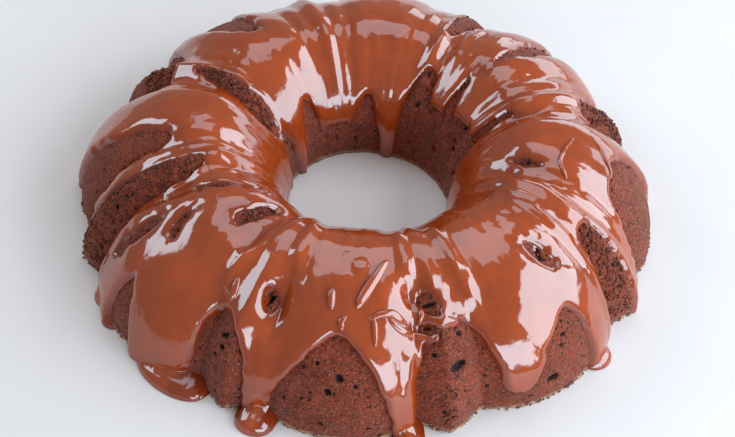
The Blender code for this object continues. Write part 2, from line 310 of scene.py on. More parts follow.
def beyond_bay(angle, radius, rise, bay):
    """Distance outside a bay, whose middle line leans from one angle to another as it rises."""
    foot_angle, foot_half_width, top_angle, top_half_width, top_rise, squareness = bay
    share = np.clip(rise / top_rise, 0, 1)
    middle = foot_angle + (top_angle - foot_angle) * share
    half_width = np.radians(foot_half_width + (top_half_width - foot_half_width) * share) * radius
    across = np.radians(wrapped(angle - middle)) * radius
    return beyond_oval(across, rise, half_width, top_rise, squareness)


def beyond_spot(angle, radius, along, spot):
    """Distance outside a bare spot, an ellipse laid on the wall and turned by its tilt."""
    spot_angle, spot_way, half_length, half_width, tilt = spot
    across = np.radians(wrapped(angle - spot_angle)) * radius
    down = along - along_wall(spot_way)
    cosine, sine = math.cos(math.radians(tilt)), math.sin(math.radians(tilt))
    turned_across, turned_down = across * cosine + down * sine, down * cosine - across * sine
    return beyond_oval(turned_across, turned_down, half_width, half_length)


def inside_glaze(angle, way):
    """Distance in from the glaze's nearest edge, negative where the cake is bare: outside every
    bay, or inside a round end or a finger, and outside every bare spot."""
    radius, along = outline(way)[0], along_wall(way)
    outer_rise, hole_rise = along_wall(1) - along, along - along_wall(-1)
    bays = [beyond_bay(angle, radius, outer_rise, bay) for bay in OUTER_BAYS]
    bays += [beyond_bay(angle, radius, hole_rise, bay) for bay in HOLE_BAYS]
    laid = [-beyond_spot(angle, radius, along, spot) for spot in DRIP_ENDS + FINGERS]
    spots = np.min([beyond_spot(angle, radius, along, spot) for spot in BARE_SPOTS], axis=0)
    run = np.maximum(np.min(bays, axis=0), np.max(laid, axis=0))
    return np.minimum(run, np.where(spots > 0, SPOT_SLOPE * spots, spots))


# %% [markdown]
# Two builders turn grids of points into meshes. The first closes a grid on itself both ways, for
# the solid sponge. The second makes a skin: the cells that are kept of an outer and an inner grid,
# with a wall of quads wherever a kept cell has no kept neighbour, so the skin has no open edge.

# %% Grids into meshes
def mesh_object(name, points, quads):
    """A smooth-shaded mesh from an array of points and an array of four point numbers a face."""
    mesh = bpy.data.meshes.new(name)
    mesh.vertices.add(len(points))
    mesh.vertices.foreach_set("co", points.astype(np.float32).ravel())
    mesh.loops.add(quads.size)
    mesh.loops.foreach_set("vertex_index", quads.astype(np.int32).ravel())
    mesh.polygons.add(len(quads))
    mesh.polygons.foreach_set("loop_start", np.arange(0, quads.size, 4, dtype=np.int32))
    mesh.update(calc_edges=True)
    mesh.validate()
    mesh.shade_smooth()
    made = bpy.data.objects.new(name, mesh)
    bpy.context.scene.collection.objects.link(made)
    print(name, len(points), "points,", 2 * len(quads), "triangles")
    return made


def add_values(thing, name, values):
    """Store one number a point, which a material reads as an attribute."""
    layer = thing.data.attributes.new(name, "FLOAT", "POINT")
    layer.data.foreach_set("value", values.astype(np.float32).ravel())


def closed_quads(rows, columns):
    """Quads of a grid that closes on itself both ways, turned outwards."""
    row, column = np.meshgrid(np.arange(rows), np.arange(columns), indexing="ij")
    below, beside = (row + 1) % rows, (column + 1) % columns
    corners = (row, column), (below, column), (below, beside), (row, beside)
    return np.stack([r * columns + c for r, c in corners], axis=-1).reshape(-1, 4)


def filled_corners(kept):
    """Keep one more cell wherever two kept cells meet only at a corner."""
    for _ in range(4):
        right, below = np.roll(kept, -1, axis=1), np.roll(kept, -1, axis=0)
        diagonal = np.roll(right, -1, axis=0)
        below[-1] = diagonal[-1] = False
        falling = kept & diagonal & ~right & ~below
        rising = right & below & ~kept & ~diagonal
        kept = kept | np.roll(falling, 1, axis=1) | rising
    return kept


def skin_quads(kept, columns):
    """Outer faces, inner faces turned round, and a wall on each side that has no neighbour."""
    row, column = np.nonzero(kept)
    beside = (column + 1) % columns
    corners = [row * columns + column, (row + 1) * columns + column,
               (row + 1) * columns + beside, row * columns + beside]
    inner = (kept.shape[0] + 1) * columns
    outer_faces = np.stack(corners, axis=-1)
    faces = [outer_faces, outer_faces[:, ::-1] + inner]
    empty_row = np.zeros((1, columns), dtype=bool)
    neighbours = (
        np.roll(kept, 1, axis=1),
        np.concatenate([kept[1:], empty_row]),
        np.roll(kept, -1, axis=1),
        np.concatenate([empty_row, kept[:-1]]),
    )
    for side, neighbour in enumerate(neighbours):
        open_side = ~neighbour[row, column]
        start, end = corners[side][open_side], corners[(side + 1) % 4][open_side]
        faces.append(np.stack([end, start, start + inner, end + inner], axis=-1))
    return np.concatenate(faces)


def without_unused(points, quads):
    """Drop the points that no face uses and count the rest anew."""
    used, numbers = np.unique(quads, return_inverse=True)
    return used, points[used], numbers.reshape(quads.shape)


# %% [markdown]
# The sponge was pressed against the pan, so its wall is nearly smooth, but it is still a crumb:
# slightly uneven, with burst bubbles left as pits, and ragged where it was pulled off at the
# foot. Fine pores are left to the material, because a pore is smaller than a cell of the mesh.
# The material paints the pores, the pits and the large holes dark inside as shade.

# %% The sponge
SPONGE_ROUND = 636
SPONGE_OUTER_ROWS, SPONGE_HOLE_ROWS, SPONGE_BASE_ROWS = 104, 42, 6
CRUMB_RELIEF, TORN_RELIEF = 0.00015, 0.00018
SPONGE_CROWDING = 1.15
RIM_REACH = 0.003
TORN_FADE = 0.06
PIT_COUNT = 620
PIT_RADII, PIT_WAYS = (0.0006, 0.0013), (-0.9, 0.97)
# angle, way, half length round the cake, half width down the wall, tilt of each large hole
LARGE_HOLES = (
    (-69.7, 0.624, 0.0042, 0.0019, -15.0),
    (-51.0, 0.866, 0.0032, 0.0018, -5.0),
    (-55.8, 0.927, 0.0014, 0.0007, 0.0),
    (-116.9, 0.600, 0.0028, 0.0012, -27.0),
    (-116.7, 0.662, 0.0014, 0.0013, 0.0),
    (-117.9, 0.717, 0.0010, 0.0010, 0.0),
    (-92.8, 0.648, 0.0019, 0.0016, 30.0),
    (-94.7, 0.720, 0.0016, 0.0014, 0.0),
    (-89.7, 0.678, 0.0010, 0.0009, 0.0),
    (-97.3, 0.591, 0.0010, 0.0009, 0.0),
    (-110.9, 0.357, 0.0017, 0.0042, 15.0),
    (-41.8, 0.290, 0.0012, 0.0044, 21.0),
    (-11.3, -0.13, 0.0009, 0.0042, -8.0),
    (-73.6, 0.322, 0.0036, 0.0011, 0.0),
    (-74.8, 0.424, 0.0018, 0.0010, 0.0),
    (14.0, 0.70, 0.0020, 0.0014, 20.0),
    (-25.5, 0.62, 0.0013, 0.0013, 0.0),
    (88.0, 0.75, 0.0020, 0.0015, 10.0),
    (160.0, 0.70, 0.0018, 0.0012, -20.0),
)
# where the pan tore the skin off the crumb: angle, lowest and highest way, half width in degrees
TORN_CRESTS = (
    (-161.0, 0.05, 0.95, 6.0),
    (159.0, -0.60, 0.60, 5.0),
    (-27.0, 0.33, 0.95, 4.0),
    (-72.0, 0.30, 0.56, 2.2),
    (-72.0, 0.70, 0.98, 1.8),
    (18.0, 0.35, 0.80, 4.0),
    (-128.3, -0.30, 0.10, 4.0),
)


def wall_ways(outer_rows, hole_rows, crowding):
    """Ways from the hole's foot to the outer foot, crowded towards the outer foot by a power."""
    hole = -1 + np.arange(hole_rows) / hole_rows
    outer = 1 - (1 - np.arange(outer_rows + 1) / outer_rows) ** crowding
    return np.concatenate([hole, outer])


def dent(depth_map, rim_map, angle, along, radius, hole):
    """Sink one oval bowl into the wall: its depth falls off as a rounded step. The rim map keeps
    the distance in from the nearest hole's rim, below 0 outside, so that the material can find it
    and paint the hole's inside dark as shade."""
    hole_angle, hole_way, half_length, half_width, tilt = hole
    down = along - float(along_wall(hole_way))
    nearby = np.abs(down[:, 0]) < 3 * max(half_length, half_width)
    across = np.radians(wrapped(angle[nearby] - hole_angle)) * radius[nearby]
    cosine, sine = math.cos(math.radians(tilt)), math.sin(math.radians(tilt))
    turned_across = across * cosine + down[nearby] * sine
    turned_down = down[nearby] * cosine - across * sine
    level = np.hypot(turned_across / half_length, turned_down / half_width)
    bowl = 1.7 * min(half_length, half_width) * (1 - smooth_step(level, 0.45, 1.1))
    depth_map[nearby] = np.maximum(depth_map[nearby], bowl)
    rim_map[nearby] = np.maximum(rim_map[nearby], (1 - level) * min(half_length, half_width))


def torn(angle, way):
    """How much of the skin is gone: 1 along the middle of a torn crest, 0 away from it."""
    share = np.zeros_like(way)
    for crest_angle, lowest, highest, half_width in TORN_CRESTS:
        across = 1 - smooth_step(np.abs(wrapped(angle - crest_angle)) / half_width, 0.5, 1.0)
        begun = smooth_step(way, lowest, lowest + TORN_FADE)
        ended = smooth_step(way, highest - TORN_FADE, highest)
        share = np.maximum(share, across * begun * (1 - ended))
    return share


def make_sponge():
    """The solid ring: the wall with its relief and pits, closed by a flat base."""
    ways = wall_ways(SPONGE_OUTER_ROWS, SPONGE_HOLE_ROWS, SPONGE_CROWDING)
    way, angle = np.meshgrid(ways, columns(SPONGE_ROUND), indexing="ij")
    smooth = wall(angle, way, 0 * way)
    radius, along = outline(way)[0], along_wall(way)
    depth, rim = np.zeros_like(way), np.full_like(way, -RIM_REACH)
    random = np.random.default_rng(7)
    for _ in range(PIT_COUNT):
        pit_radius = random.uniform(*PIT_RADII) * random.uniform(0.6, 1.0)
        place = random.uniform(-180, 180), random.uniform(*PIT_WAYS)
        pit = (*place, pit_radius * random.uniform(1.0, 1.5), pit_radius, 0.0)
        dent(depth, rim, angle, along, radius, pit)
    for hole in LARGE_HOLES:
        dent(depth, rim, angle, along, radius, hole)
    relief = CRUMB_RELIEF * (uneven(smooth, 0.009, 1) + 0.8 * uneven(smooth, 0.0035, 2))
    torn_relief = uneven(smooth, 0.0034, 4) + 0.8 * uneven(smooth, 0.0019, 5) - 0.6
    relief += TORN_RELIEF * torn(angle, way) * torn_relief
    ragged = smooth_step(way, 0.965, 1.0) * (0.0004 * uneven(smooth, 0.004, 3) - 0.0003)
    shaped = wall(angle, way, relief + ragged - depth)
    share = (np.arange(1, SPONGE_BASE_ROWS) / SPONGE_BASE_ROWS)[:, None, None]
    base = shaped[-1:] * (1 - share) + shaped[:1] * share
    base[..., 2] = 0
    shaped[[0, -1], :, 2] = 0
    points = np.concatenate([shaped, base])
    sponge = mesh_object("sponge", points.reshape(-1, 3), closed_quads(len(points), SPONGE_ROUND))
    add_values(sponge, "rim", np.concatenate([rim, np.full(base.shape[:2], -RIM_REACH)]))
    return sponge


sponge = make_sponge()

# %% [markdown]
# The glaze is a liquid skin a few millimetres thick. Its edge is rounded like a water drop's, it
# fills the valleys on the crown, swells where a drip gathers above the foot, and spreads into low
# pools on the surface that the cake stands on. Setting as it ran, it kept soft streaks down the
# wall. All of that is one height over the wall, so it is worked out as one, on a fine grid. At the
# edge the height falls below the sponge, and the skin's cut border is hidden in the crumb.

# %% The glaze
GLAZE_ROUND = 530
GLAZE_OUTER_ROWS, GLAZE_HOLE_ROWS = 80, 42
GLAZE_CROWDING = 1.35
GLAZE_THICKNESS, GLAZE_EDGE = 0.0021, 0.0034
DRIP_SWELL, STREAK_HEIGHT = 0.45, 0.00030
STREAK_FADE, STREAK_FADE_WAYS = 0.65, (0.30, 0.55)
FILLED_TOWARDS, FILL_LEAST, FILL_MOST = -80.0, 0.30, 0.80
LEVELLING_TURNS = (-5.0, -3.5, -2.0, 0.0, 2.0, 3.5, 5.0)
EDGE_WANDER = 0.0006
# past its edge the skin runs on for a margin and sinks by a slope, over an underside at a depth
HIDDEN_MARGIN, HIDDEN_FALL, HIDDEN_DEPTH = 0.0007, 2.2, 0.0021
# angle, way, radius and height of bubbles under the skin
BUBBLES = (
    (-90.4, 0.128, 0.0034, 0.0010),
    (-94.6, 0.075, 0.0018, 0.0005),
    (-68.0, 0.120, 0.0016, 0.0004),
    (-84.0, 0.900, 0.0014, 0.0005),
)


def pool_lift(angle, radius, height):
    """How far the pools stand out from the wall at each height: the sides of flattened balls."""
    lift = np.full_like(angle, -1.0)
    for pool_angle, distance, half_length, half_width, top in POOLS:
        across = np.radians(wrapped(angle - pool_angle)) * distance
        left = 1 - (across / half_length) ** 2 - (height / top) ** 2
        side = distance + 0.98 * half_width * np.sqrt(np.clip(left, 0, 1)) - radius
        lift = np.maximum(lift, np.where(left > 0, side, -1.0))
    return lift


def valley_fill(angle, way):
    """Extra depth in a valley of the crown: a share of the flute's depth, most at the front."""
    towards = smooth_step(np.cos(np.radians(angle - FILLED_TOWARDS)), 0.2, 0.9)
    share = FILL_LEAST + (FILL_MOST - FILL_LEAST) * towards
    on_crown = 1 - smooth_step(np.abs(way - 0.03), 0.18, 0.42)
    return share * on_crown * np.interp(way, FLUTE_WAYS, FLUTE_DEPTHS) * (1 - flute(angle))


def levelling(angle, way):
    """Extra depth that rounds the creases: how far the flute's mean over a few degrees stands
    above it, times the flute's depth that is left."""
    mean = np.mean([flute(angle + turn) for turn in LEVELLING_TURNS], axis=0)
    return np.maximum(mean - flute(angle), 0) * np.interp(way, FLUTE_WAYS, FLUTE_DEPTHS)


def streaks(angle, way):
    """Unevenness drawn out down the wall: its waves run three times as far along as across, and
    it fades down the outer wall, where the glaze ran together again."""
    turn = np.radians(angle)
    places = np.stack([0.09 * np.cos(turn), 0.09 * np.sin(turn), 0.33 * along_wall(way)], axis=-1)
    waves = 0.75 * uneven(places, 0.013, 15) + 0.45 * uneven(places, 0.0065, 16)
    waves += 0.12 * uneven(places, 0.0036, 17)
    return waves * (1 - STREAK_FADE * smooth_step(way, *STREAK_FADE_WAYS))


def glaze_height(angle, way):
    """Distance in from the glaze's edge, and the skin's height over the wall."""
    bare = wall(angle, way, 0 * way)
    wander = EDGE_WANDER * (uneven(bare, 0.018, 11) + 0.5 * uneven(bare, 0.007, 12))
    inside = inside_glaze(angle, way) + wander
    rounded = np.sqrt(1 - (1 - np.clip(inside / GLAZE_EDGE, 0, 1)) ** 2)
    thickness = GLAZE_THICKNESS * (1 + 0.10 * uneven(bare, 0.024, 13))
    thickness *= 1 + DRIP_SWELL * np.clip(way, 0, 1) ** 3
    settled = smooth_step(inside, 0, 0.008)
    gathered = valley_fill(angle, way) + levelling(angle, way)
    thickness += settled * (gathered + STREAK_HEIGHT * streaks(angle, way))
    for bubble_angle, bubble_way, radius, height in BUBBLES:
        across = np.radians(wrapped(angle - bubble_angle)) * outline(bubble_way)[0]
        level = np.hypot(across, along_wall(way) - along_wall(bubble_way)) / radius
        thickness += height * np.sqrt(1 - np.clip(level, 0, 1) ** 2)
    sunk = HIDDEN_FALL * np.maximum(inside, -HIDDEN_MARGIN)
    return inside, np.where(inside > 0, thickness * rounded, sunk)


def under_top(points, start, top):
    """Ease heights above the start so that none passes the top, by a hyperbolic tangent."""
    over = np.maximum(points[..., 2] - start, 0)
    points[..., 2] += (top - start) * np.tanh(over / (top - start)) - over
    return points


def make_glaze():
    """The skin: its height over the wall, on the kept cells of a grid."""
    ways = wall_ways(GLAZE_OUTER_ROWS, GLAZE_HOLE_ROWS, GLAZE_CROWDING)
    way, angle = np.meshgrid(ways, columns(GLAZE_ROUND), indexing="ij")
    bare = wall(angle, way, 0 * way)
    inside, lift = glaze_height(angle, way)
    pooled = pool_lift(angle, np.hypot(bare[..., 0], bare[..., 1]), bare[..., 2])
    at_foot = way > 0.5
    lift = np.where(at_foot, np.maximum(lift, pooled), lift)
    covered = (inside > -HIDDEN_MARGIN) | (at_foot & (pooled > 0))
    kept = covered[:-1] | covered[1:]
    kept |= np.roll(kept, -1, axis=1)
    outer = under_top(wall(angle, way, lift), CAKE_HEIGHT, cad_box[1][2])
    inner = wall(angle, way, 0 * way - HIDDEN_DEPTH)
    quads = skin_quads(filled_corners(kept), GLAZE_ROUND)
    used, points, quads = without_unused(np.concatenate([outer, inner]).reshape(-1, 3), quads)
    glaze = mesh_object("glaze_skin", points, quads)
    add_values(glaze, "inside", np.concatenate([inside, inside]).ravel()[used])
    return glaze


glaze = make_glaze()

# %% [markdown]
# The spoon left its marks: where the glaze was already setting, the last threads didn't sink in.
# They are rounded ribbons on the skin, each swept along a short path over the wall, thin at its
# ends. A sweep keeps their edges crisp, which the skin's grid is too coarse for.

# %% Threads of glaze
# half width, height and lean of each, then the places that it passes as angle and way
THREADS = (
    (0.0025, 0.0010, 30.0,
     (-82.5, 0.084), (-85.0, 0.162), (-87.6, 0.242), (-89.4, 0.301), (-90.4, 0.338)),
    (0.0018, 0.0012, 0.0,
     (-88.0, 0.385), (-85.2, 0.355), (-82.4, 0.350), (-80.7, 0.377), (-79.0, 0.400)),
    (0.0014, 0.0011, 10.0, (-86.9, 0.365), (-86.5, 0.400), (-86.3, 0.440), (-86.2, 0.500)),
    (0.0013, 0.0010, 0.0, (-75.0, 0.235), (-75.2, 0.300), (-75.7, 0.367), (-76.6, 0.410)),
    (0.0017, 0.0010, 0.0,
     (-83.6, 0.372), (-81.5, 0.412), (-79.8, 0.438), (-77.1, 0.455), (-74.2, 0.475)),
    (0.0011, 0.0009, 0.0,
     (1.4, 0.199), (-4.1, 0.145), (-9.6, 0.125), (-12.8, 0.159), (-14.5, 0.195)),
    (0.0010, 0.0008, 0.0,
     (3.4, 0.300), (0.9, 0.345), (-2.6, 0.371), (-6.1, 0.418), (-10.4, 0.480)),
    (0.0018, 0.0010, 30.0, (-96.5, 0.255), (-96.4, 0.300), (-95.9, 0.355)),
    (0.0014, 0.0010, 0.0, (-92.6, 0.372), (-93.6, 0.400), (-93.2, 0.440)),
    (0.0017, 0.0010, 25.0, (-119.5, 0.330), (-118.6, 0.400), (-118.9, 0.470)),
    (0.0013, 0.0010, 0.0, (-121.6, 0.400), (-119.6, 0.430), (-118.0, 0.445)),
)
THREAD_STEPS, THREAD_SIDES = 36, 10


def sweep_thread(half_width, height, lean, *places):
    """Points of one ribbon: an oval carried along the path and turned about it by the lean,
    shrunk to nothing at both ends by the height of a half circle."""
    share = np.linspace(0, 1, THREAD_STEPS)
    knots = np.linspace(0, 1, len(places))
    angle, way = (np.interp(share, knots, values) for values in np.transpose(places))
    for _ in range(6):
        angle[1:-1] = (angle[:-2] + 2 * angle[1:-1] + angle[2:]) / 4
        way[1:-1] = (way[:-2] + 2 * way[1:-1] + way[2:]) / 4
    lift = glaze_height(angle, way)[1]
    centre = wall(angle, way, lift)
    up = wall(angle, way, lift + 0.001) - centre
    up /= np.linalg.norm(up, axis=1)[:, None]
    ahead = np.gradient(centre, axis=0)
    side = np.cross(up, ahead)
    side /= np.linalg.norm(side, axis=1)[:, None]
    cosine, sine = math.cos(math.radians(lean)), math.sin(math.radians(lean))
    side, up = side * cosine - up * sine, up * cosine + side * sine
    slim = (0.02 + 0.98 * np.sqrt(np.clip(1 - (2 * share - 1) ** 2, 0, 1)))[:, None, None]
    turn = np.arange(THREAD_SIDES) * 2 * math.pi / THREAD_SIDES
    ring = side[:, None] * (half_width * np.cos(turn))[:, None]
    ring = ring + up[:, None] * (height * np.sin(turn))[:, None]
    return centre[:, None] + ring * slim


def tube_quads(steps, sides):
    """Quads of a tube between its rings, with each end closed by the tube's own last ring."""
    row, column = np.meshgrid(np.arange(steps - 1), np.arange(sides), indexing="ij")
    beside = (column + 1) % sides
    corners = (row, column), (row, beside), (row + 1, beside), (row + 1, column)
    quads = np.stack([r * sides + c for r, c in corners], axis=-1).reshape(-1, 4)
    fan = np.array([[0, k + 2, k + 1, k] for k in range(1, sides - 2, 2)])
    return np.concatenate([quads, fan, fan[:, ::-1] + (steps - 1) * sides])


def make_threads():
    """All the threads as one mesh, because they are one kind of thing."""
    sweeps = np.stack([sweep_thread(*thread) for thread in THREADS])
    one = tube_quads(THREAD_STEPS, THREAD_SIDES)
    numbers = one[None] + THREAD_STEPS * THREAD_SIDES * np.arange(len(THREADS))[:, None, None]
    return mesh_object("glaze_threads", sweeps.reshape(-1, 3), numbers.reshape(-1, 4))


threads = make_threads()

# %% [markdown]
# Crumbs broke off along the foot, and stand up all over the torn crests and along the rims of the
# bare spots. Each is a small ball, pushed in and out at random and half sunk in the sponge. They
# are made as one mesh, because a scattered thing is one piece.

# %% Crumbs
CRUMB_TRIES = 60000
CRUMBS_ON_CRESTS, CRUMBS_ON_RIMS, CRUMBS_AT_FOOT = 1500, 500, 320
CRUMB_SIZES = (0.00025, 0.00085)
CRUMB_RIM_WIDTH, CRUMB_CLEARANCE = 0.0016, 0.0004
CRUMB_FLOOR = 0.00002


def ball(rings, sides):
    """A unit ball as points and quads: two angles on a grid, with the poles as tiny rings."""
    polar, turn = np.meshgrid(np.linspace(0.02, math.pi - 0.02, rings),
                              np.arange(sides) * 2 * math.pi / sides, indexing="ij")
    across = np.sin(polar)
    points = np.stack([across * np.cos(turn), across * np.sin(turn), np.cos(polar)], axis=-1)
    row, column = np.meshgrid(np.arange(rings - 1), np.arange(sides), indexing="ij")
    beside = (column + 1) % sides
    corners = (row, column), (row + 1, column), (row + 1, beside), (row, beside)
    quads = np.stack([r * sides + c for r, c in corners], axis=-1).reshape(-1, 4)
    top = np.array([[0, 1, 2, 3], [0, 3, 4, 5]])
    bottom = np.array([[3, 2, 1, 0], [5, 4, 3, 0]]) + (rings - 1) * sides
    return points.reshape(-1, 3), np.concatenate([quads, top, bottom])


def crumb_places(random):
    """Angles and ways drawn over the whole wall, then kept on crests, on rims and at the foot."""
    angle = random.uniform(-180, 180, CRUMB_TRIES)
    way = random.uniform(-0.9, 1.0, CRUMB_TRIES)
    inside = inside_glaze(angle, way)
    bare = inside < -CRUMB_CLEARANCE
    crest = bare & (torn(angle, way) > random.uniform(0.1, 1, CRUMB_TRIES))
    rim = bare & (inside > -CRUMB_RIM_WIDTH) & (np.abs(way) < 0.6)
    foot = np.nonzero(inside_glaze(angle, np.full_like(angle, 0.97)) < -0.001)[0][:CRUMBS_AT_FOOT]
    way[foot] = 1 - np.abs(random.normal(0, 0.012, len(foot)))
    on_crests = np.nonzero(crest)[0][:CRUMBS_ON_CRESTS]
    on_rims = np.nonzero(rim)[0][:CRUMBS_ON_RIMS]
    chosen = np.concatenate([on_crests, on_rims, foot])
    return angle[chosen], way[chosen]


def make_crumbs():
    """Balls of random size, each stretched and made lumpy at random."""
    random = np.random.default_rng(21)
    angle, way = crumb_places(random)
    count = len(angle)
    size = random.uniform(*CRUMB_SIZES, count) * random.uniform(0.6, 1.0, count)
    centre = wall(angle, way, 0.25 * size)
    points, quads = ball(5, 6)
    stretch = random.uniform(0.7, 1.25, (count, 1, 3))
    lumps = 1 + random.uniform(-0.25, 0.25, (count, len(points), 1))
    placed = centre[:, None] + points[None] * stretch * lumps * size[:, None, None]
    placed[..., 2] = np.maximum(placed[..., 2], CRUMB_FLOOR)
    numbers = quads[None] + len(points) * np.arange(count)[:, None, None]
    return mesh_object("crumbs", placed.reshape(-1, 3), numbers.reshape(-1, 4))


crumbs = make_crumbs()

# %% [markdown]
# Both finishes share one effect, a soft patchiness: chocolate is never one flat brown, in the
# crumb or in the glaze. It is a node group with a size and a seed, so each material places it
# with its own values. The material keeps the Principled BSDF itself.

# %% Shared node group and helpers
def node(tree, kind, inputs=None, **settings):
    """Add a node, set its settings by attribute and its unlinked sockets by name or number."""
    made = tree.nodes.new(kind)
    for name, value in settings.items():
        setattr(made, name, value)
    for socket, value in (inputs or {}).items():
        made.inputs[socket].default_value = value
    return made


def link(tree, *ends):
    """Join output and input sockets, given by turns."""
    for start, end in zip(ends[::2], ends[1::2]):
        tree.links.new(start, end)


def patchiness_group():
    """Two noises of the object's own coordinates, a broad one and one a quarter of its size,
    added and stretched to run from 0 to 1."""
    group = bpy.data.node_groups.new("chocolate patchiness", "ShaderNodeTree")
    size = group.interface.new_socket("Patches a metre", in_out="INPUT", socket_type="NodeSocketFloat")
    size.default_value = 60.0
    group.interface.new_socket("Seed", in_out="INPUT", socket_type="NodeSocketFloat")
    group.interface.new_socket("Patch", in_out="OUTPUT", socket_type="NodeSocketFloat")
    given = group.nodes.new("NodeGroupInput")
    result = group.nodes.new("NodeGroupOutput")
    patches, seed = given.outputs["Patches a metre"], given.outputs["Seed"]
    place = node(group, "ShaderNodeTexCoord").outputs["Object"]
    broad = node(group, "ShaderNodeTexNoise", {"Detail": 3.0, "Roughness": 0.55}, noise_dimensions="4D")
    finer = node(group, "ShaderNodeMath", {1: 4.3}, operation="MULTIPLY")
    small = node(group, "ShaderNodeTexNoise", {"Detail": 2.0}, noise_dimensions="4D")
    mixed = node(group, "ShaderNodeMix", {"Factor": 0.35})
    spread = node(group, "ShaderNodeMapRange", {"From Min": 0.3, "From Max": 0.7})
    link(group, place, broad.inputs["Vector"], place, small.inputs["Vector"])
    link(group, patches, broad.inputs["Scale"], seed, broad.inputs["W"])
    link(group, patches, finer.inputs[0], finer.outputs[0], small.inputs["Scale"])
    link(group, seed, small.inputs["W"])
    link(group, broad.outputs[0], mixed.inputs["A"], small.outputs[0], mixed.inputs["B"])
    link(group, mixed.outputs["Result"], spread.inputs["Value"])
    link(group, spread.outputs["Result"], result.inputs["Patch"])
    return group


PATCHINESS = patchiness_group()


def new_material(name, roughness):
    """A material with its Principled BSDF ready, and its node tree."""
    material = bpy.data.materials.new(name)
    material.use_nodes = True
    surface = material.node_tree.nodes["Principled BSDF"]
    surface.inputs["Roughness"].default_value = roughness
    return material, material.node_tree, surface


def patch(tree, patches, seed):
    """Place the shared patchiness in a material."""
    placed = node(tree, "ShaderNodeGroup", node_tree=PATCHINESS)
    placed.inputs["Patches a metre"].default_value = patches
    placed.inputs["Seed"].default_value = seed
    return placed.outputs["Patch"]


def two_colours(tree, factor, first, second):
    """A colour that goes from the first to the second with a factor."""
    mixed = node(tree, "ShaderNodeMix", data_type="RGBA")
    for socket, colour in ((mixed.inputs["A"], first), (mixed.inputs["B"], second)):
        if isinstance(colour, tuple):
            socket.default_value = (*colour, 1)
        else:
            tree.links.new(colour, socket)
    tree.links.new(factor, mixed.inputs["Factor"])
    return mixed.outputs["Result"]


# %% [markdown]
# The crumb is matt and full of pores. A Voronoi texture gives each cell of space a centre and a
# random colour: where the distance to the centre is small and the random value lets it, there is
# a pore, painted dark inside as shade and sunk by the bump. Three sizes are laid over each other,
# with a fine noise between, which roughens the bump and whose pale specks are painted highlights
# on the crumb's edges. The foot, where the batter met the pan's rim, baked paler and drier.

# %% Sponge material
SPONGE_LIGHT = (0.258, 0.041, 0.017)
SPONGE_DARK = (0.140, 0.020, 0.007)
# painted highlights: the pale colour of the specks on the crumb's edges
SPONGE_SPECK_HIGHLIGHT = (0.470, 0.160, 0.105)
# painted shade: the near-black inside pores and modelled holes
SPONGE_PORE_SHADE = (0.022, 0.006, 0.004)
SPONGE_FOOT = (0.56, 0.32, 0.19)
# cells a metre, pore radius as a share of a cell, share of the cells that have a pore, darkness of
# the shade painted in the pore
PORE_SIZES = ((1500.0, 0.74, 0.85, 0.38), (850.0, 0.58, 0.50, 0.68), (330.0, 0.40, 0.15, 0.90))


def pores(tree, cells, radius, share, darkness):
    """A mask of pores: the darkness of the shade painted in the middle of a pore, and 0 outside."""
    place = node(tree, "ShaderNodeTexCoord")
    bend = node(tree, "ShaderNodeTexNoise", {"Scale": cells * 0.9, "Detail": 1.0})
    bent = node(tree, "ShaderNodeMix", {"Factor": 0.6 / cells}, data_type="VECTOR")
    cell = node(tree, "ShaderNodeTexVoronoi", {"Scale": cells, "Randomness": 1.0})
    chance = node(tree, "ShaderNodeSeparateColor")
    size = node(tree, "ShaderNodeMapRange", {"From Min": 1 - share, "From Max": 1.0, "To Max": radius})
    depth = node(tree, "ShaderNodeMath", operation="SUBTRACT")
    mask = node(tree, "ShaderNodeMapRange", {"From Min": -0.04, "From Max": 0.16, "To Max": darkness},
                interpolation_type="SMOOTHSTEP")
    link(tree, place.outputs["Object"], bend.inputs["Vector"], place.outputs["Object"], bent.inputs["A"],
         bend.outputs["Color"], bent.inputs["B"], bent.outputs["Result"], cell.inputs["Vector"],
         cell.outputs["Color"], chance.inputs["Color"], chance.outputs["Red"], size.inputs["Value"],
         size.outputs["Result"], depth.inputs[0], cell.outputs["Distance"], depth.inputs[1],
         depth.outputs[0], mask.inputs["Value"])
    return mask.outputs["Result"]


def largest(tree, *values):
    """The largest of several values."""
    result = values[0]
    for value in values[1:]:
        more = node(tree, "ShaderNodeMath", operation="MAXIMUM")
        link(tree, result, more.inputs[0], value, more.inputs[1])
        result = more.outputs[0]
    return result


def pale_foot(tree, place):
    """How pale the foot is: all of it in the lowest part, fading in patches a little higher."""
    apart = node(tree, "ShaderNodeSeparateXYZ")
    edge = node(tree, "ShaderNodeMapRange", {"From Min": 0.0026, "From Max": 0.0006},
                interpolation_type="SMOOTHSTEP")
    uneven_edge = node(tree, "ShaderNodeMapRange", {"To Min": 0.35})
    foot = node(tree, "ShaderNodeMath", operation="MULTIPLY")
    link(tree, place, apart.inputs[0], apart.outputs["Z"], edge.inputs["Value"],
         patch(tree, 180.0, 4.0), uneven_edge.inputs["Value"],
         edge.outputs["Result"], foot.inputs[0], uneven_edge.outputs["Result"], foot.inputs[1])
    return foot.outputs[0]


def hole_shade_mask(tree, place):
    """A mask of the shade painted in the modelled holes, with a crisp and slightly wavering edge:
    1 within the rim.
    """
    rim = node(tree, "ShaderNodeAttribute", attribute_name="rim").outputs["Fac"]
    waver = node(tree, "ShaderNodeTexNoise", {"Scale": 700.0, "Detail": 2.0})
    moved = node(tree, "ShaderNodeMath", {1: 0.0010}, operation="MULTIPLY_ADD")
    mask = node(tree, "ShaderNodeMapRange", {"From Min": 0.00045, "From Max": 0.00070})
    link(tree, place, waver.inputs["Vector"], waver.outputs[0], moved.inputs[0], rim, moved.inputs[2],
         moved.outputs[0], mask.inputs["Value"])
    return mask.outputs["Result"]


